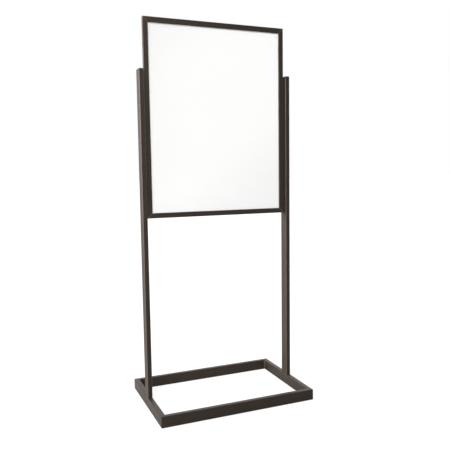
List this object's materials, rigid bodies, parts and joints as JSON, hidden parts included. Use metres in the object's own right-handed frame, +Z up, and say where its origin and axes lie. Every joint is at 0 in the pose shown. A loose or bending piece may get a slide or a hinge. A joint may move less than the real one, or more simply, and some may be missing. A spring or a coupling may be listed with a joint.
{
  "type": "sign stand",
  "caption": "Floor-standing poster frame: open rectangular tube base, twin flat tube uprights and a slotted mitred frame that takes a sheet between clear lenses.",
  "frame": {"origin": "on the floor, under the middle of the base rectangle", "axes": "+X to the right as seen from the front, front faces -Y, +Z up"},
  "size_m": [0.612, 0.395, 1.45],
  "materials": {
    "bronze_steel": "satin dark bronze powder coat",
    "bronze_aluminium": "satin dark bronze anodised",
    "black_plastic": "matt black moulded",
    "zinc_steel": "zinc plated",
    "bronze_fastener": "dark bronze coated",
    "white_card": "smooth blank white sheet",
    "clear_plastic": "clear non-glare plastic lens"
  },
  "bodies": {
    "stand": {"base_front_rail": "bronze_steel", "base_back_rail": "bronze_steel", "base_left_rail": "bronze_steel", "base_right_rail": "bronze_steel", "left_upright": "bronze_steel", "right_upright": "bronze_steel", "frame_bottom_rail": "bronze_aluminium", "frame_top_rail": "bronze_aluminium", "frame_left_rail": "bronze_aluminium", "frame_right_rail": "bronze_aluminium", "left_end_cap": "black_plastic", "right_end_cap": "black_plastic", "frame_spacers": "black_plastic", "base_glides": "black_plastic", "left_foot_insert": "zinc_steel", "right_foot_insert": "zinc_steel", "base_bolts": "zinc_steel", "base_washers": "zinc_steel", "corner_key_lower_left_front": "zinc_steel", "corner_key_lower_left_back": "zinc_steel", "corner_key_upper_left_front": "zinc_steel", "corner_key_upper_left_back": "zinc_steel", "corner_key_lower_right_front": "zinc_steel", "corner_key_lower_right_back": "zinc_steel", "corner_key_upper_right_front": "zinc_steel", "corner_key_upper_right_back": "zinc_steel", "frame_screws": "bronze_fastener"},
    "sheet": {"sign_sheet": "white_card"},
    "front_cover": {"front_lens": "clear_plastic"},
    "back_cover": {"back_lens": "clear_plastic"}
  },
  "joints": [
    {"name": "sheet_lift", "type": "slide", "parent": "stand", "child": "sheet", "axis": [0, 0, 1], "range_m": [0, 0.726]},
    {"name": "front_lens_lift", "type": "slide", "parent": "stand", "child": "front_cover", "axis": [0, 0, 1], "range_m": [0, 0.726]},
    {"name": "back_lens_lift", "type": "slide", "parent": "stand", "child": "back_cover", "axis": [0, 0, 1], "range_m": [0, 0.726]}
  ]
}
